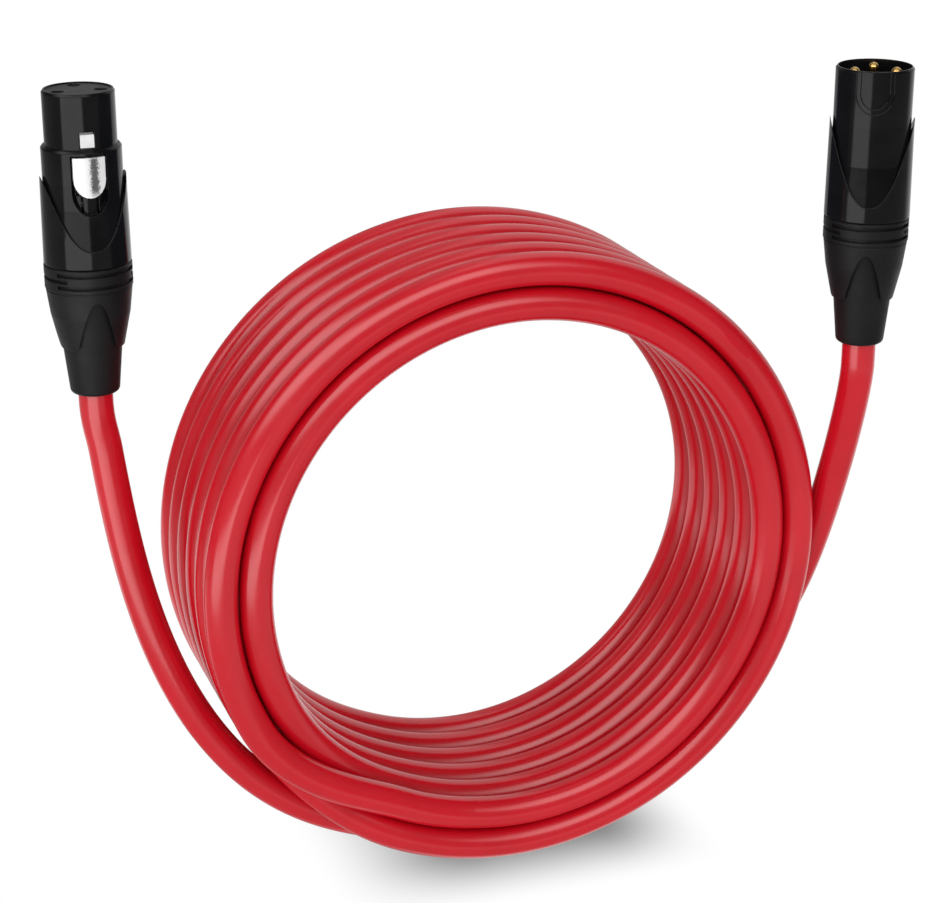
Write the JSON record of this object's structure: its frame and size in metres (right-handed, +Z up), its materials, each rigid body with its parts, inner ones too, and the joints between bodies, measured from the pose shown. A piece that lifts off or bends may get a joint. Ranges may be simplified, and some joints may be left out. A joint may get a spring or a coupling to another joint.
{
  "type": "coiled xlr cable",
  "caption": "Coiled microphone cable in two layers with a three-pole socket plug on one tail and a three-pole pin plug on the other.",
  "frame": {"origin": "on the floor, under the centre of the coil at mid depth", "axes": "+X to the right towards the pin plug, +Y to the back along the coil's axis, +Z up towards the plugs' mating ends"},
  "size_m": [0.1904, 0.0722, 0.1877],
  "materials": {
    "red_jacket": "satin-gloss red PVC",
    "screen_copper": "bare copper strands",
    "white_insulation": "smooth white insulation",
    "blue_insulation": "smooth blue insulation",
    "black_shell": "gloss black lacquer on die-cast zinc",
    "black_insert": "fine satin black polyamide",
    "contact_gold": "gold plated",
    "latch_steel": "bright nickel plate",
    "spring_steel": "drawn spring wire",
    "contact_bronze": "phosphor bronze strip",
    "black_sleeve": "matte heat-shrink sleeve",
    "solder": "dull solder",
    "chuck_nylon": "natural nylon",
    "black_backnut": "satin black polyamide, fine mould grain",
    "black_boot": "matte black soft rubber"
  },
  "bodies": {
    "coil": {"cable_jacket": "red_jacket", "cable_shield": "screen_copper", "conductor_white": "white_insulation", "conductor_blue": "blue_insulation"},
    "female_plug": {"female_housing": "black_shell", "female_insert": "black_insert", "female_socket_1": "contact_gold", "female_socket_2": "contact_gold", "female_socket_3": "contact_gold", "female_latch_pin": "latch_steel", "female_latch_spring": "spring_steel", "female_ground_contact": "contact_bronze", "female_drain_wire": "screen_copper", "female_drain_sleeve": "black_sleeve", "female_solder": "solder"},
    "female_latch": {"female_latch": "latch_steel"},
    "female_chuck": {"female_chuck": "chuck_nylon"},
    "female_backnut": {"female_backnut": "black_backnut", "female_boot": "black_boot"},
    "male_plug": {"male_shell": "black_shell", "male_insert": "black_insert", "male_pin_1": "contact_gold", "male_pin_2": "contact_gold", "male_pin_3": "contact_gold", "male_ground_contact": "contact_bronze", "male_drain_wire": "screen_copper", "male_drain_sleeve": "black_sleeve", "male_solder": "solder"},
    "male_chuck": {"male_chuck": "chuck_nylon"},
    "male_backnut": {"male_backnut": "black_backnut", "male_boot": "black_boot"}
  },
  "joints": [
    {"name": "left_tail_bend", "type": "hinge", "parent": "coil", "child": "female_plug", "pos_m": [-0.0879, 0.0009, 0.086], "axis": [0, 1, 0], "range_deg": [-30, 12], "stiffness_Nm_per_rad": 0.3, "deforming": ["cable_jacket", "cable_shield", "conductor_white", "conductor_blue"]},
    {"name": "right_tail_bend", "type": "hinge", "parent": "coil", "child": "male_plug", "pos_m": [0.0799, -0.023, 0.09], "axis": [0, 1, 0], "range_deg": [-12, 30], "stiffness_Nm_per_rad": 0.3, "deforming": ["cable_jacket", "cable_shield", "conductor_white", "conductor_blue"]},
    {"name": "latch_press", "type": "hinge", "parent": "female_plug", "child": "female_latch", "pos_m": [-0.0918, -0.0015, 0.1648], "axis": [-1, 0, 0], "range_deg": [0, 5], "stiffness_Nm_per_rad": 0.05, "springref_deg": -5.73, "deforming": ["female_latch_spring"]},
    {"name": "female_chuck_slide", "type": "slide", "parent": "female_plug", "child": "female_chuck", "axis": [0, 0, -1], "range_m": [0, 0.0041]},
    {"name": "female_backnut_turn", "type": "hinge", "parent": "female_chuck", "child": "female_backnut", "pos_m": [-0.0918, 0.004, 0.1472], "axis": [0, 0, -1], "range_deg": [0, 1440]},
    {"name": "male_chuck_slide", "type": "slide", "parent": "male_plug", "child": "male_chuck", "axis": [0, 0, -1], "range_m": [0, 0.0041]},
    {"name": "male_backnut_turn", "type": "hinge", "parent": "male_chuck", "child": "male_backnut", "pos_m": [0.0793, -0.0325, 0.1515], "axis": [0, 0, -1], "range_deg": [0, 1440]}
  ],
  "couplings": [
    {"joint": "female_chuck_slide", "follows": "female_backnut_turn", "m_per_rad": 0.00015915},
    {"joint": "male_chuck_slide", "follows": "male_backnut_turn", "m_per_rad": 0.00015915}
  ]
}
